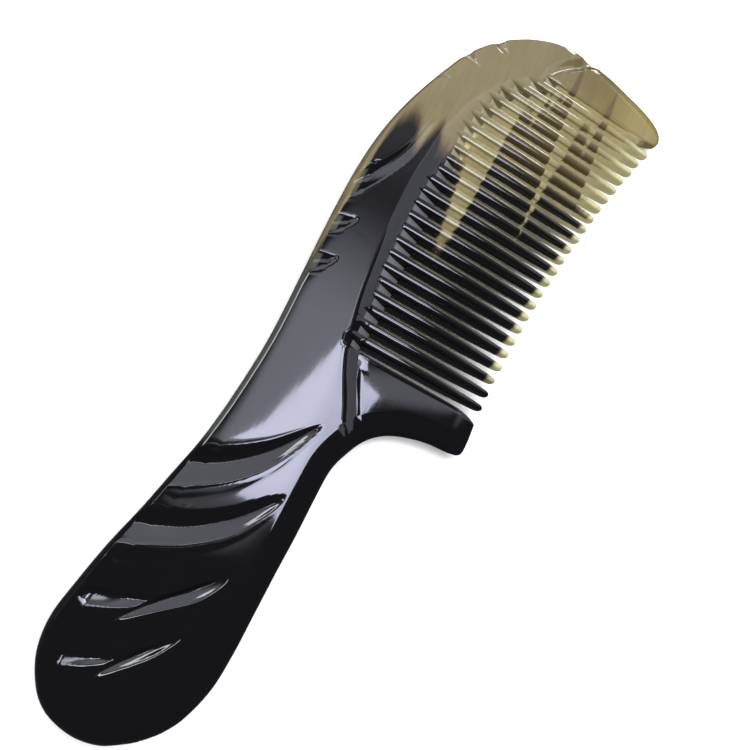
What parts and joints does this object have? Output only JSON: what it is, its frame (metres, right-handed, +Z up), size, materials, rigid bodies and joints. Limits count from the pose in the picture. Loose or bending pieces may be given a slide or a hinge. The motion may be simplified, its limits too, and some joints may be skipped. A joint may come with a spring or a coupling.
{
  "type": "horn comb",
  "caption": "One-piece polished horn comb with a carved handle, a leaf-carved back, two end guards and saw-cut teeth that lengthen towards the far end.",
  "frame": {"origin": "middle of the comb's outline, on the surface that the comb lies on", "axes": "+X along the comb from the end of the handle to the far end, +Y from the tips of the teeth towards the back edge, +Z up out of the pictured face"},
  "size_m": [0.1838, 0.0738, 0.007],
  "materials": {
    "horn": "polished black horn that turns olive and translucent towards the far end"
  },
  "bodies": {
    "root": {"comb": "horn"}
  },
  "joints": []
}
